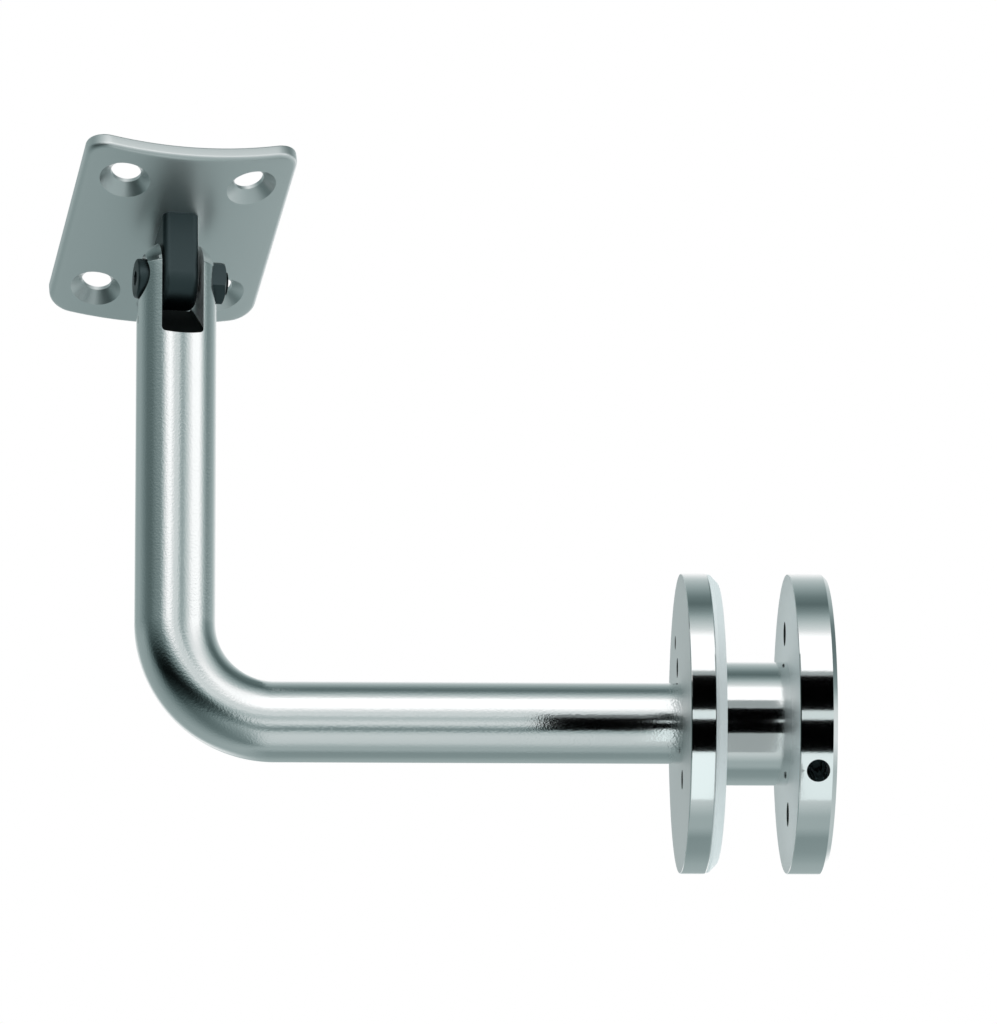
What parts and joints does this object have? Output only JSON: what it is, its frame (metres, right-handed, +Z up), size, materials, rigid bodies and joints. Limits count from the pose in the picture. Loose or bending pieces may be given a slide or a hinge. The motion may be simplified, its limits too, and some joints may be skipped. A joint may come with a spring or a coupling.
{
  "type": "handrail bracket",
  "caption": "Stainless handrail bracket: bent round arm with a forked end and tilting saddle plate, clamped to a glass pane by two discs and a bush.",
  "frame": {"origin": "on the axis of the glass clamp, at the face of the front gasket that bears on the glass", "axes": "+X through the glass, away from the bar; +Y along the glass; +Z up to the handrail"},
  "size_m": [0.1351, 0.0549, 0.126],
  "materials": {
    "satin_steel": "satin stainless steel, fine turned and drawn grain",
    "saddle_steel": "satin stainless steel sheet, blasted grain",
    "dark_steel": "darkened steel, semi-gloss",
    "pale_gasket": "pale translucent-looking soft plastic"
  },
  "bodies": {
    "bracket": {"arm": "satin_steel", "pivot_screw": "dark_steel", "pivot_nut": "dark_steel", "front_disc": "satin_steel", "front_gasket": "pale_gasket", "spacer_bush": "satin_steel", "arm_stud": "dark_steel", "back_disc": "satin_steel", "lock_screw": "dark_steel"},
    "saddle": {"saddle_plate": "saddle_steel", "hinge_tongue": "dark_steel"}
  },
  "joints": [
    {"name": "saddle_tilt", "type": "hinge", "parent": "bracket", "child": "saddle", "pos_m": [-0.0937, 0, 0.079], "axis": [0.9826, 0.1857, 0], "range_deg": [-47.4, 112.6]}
  ]
}
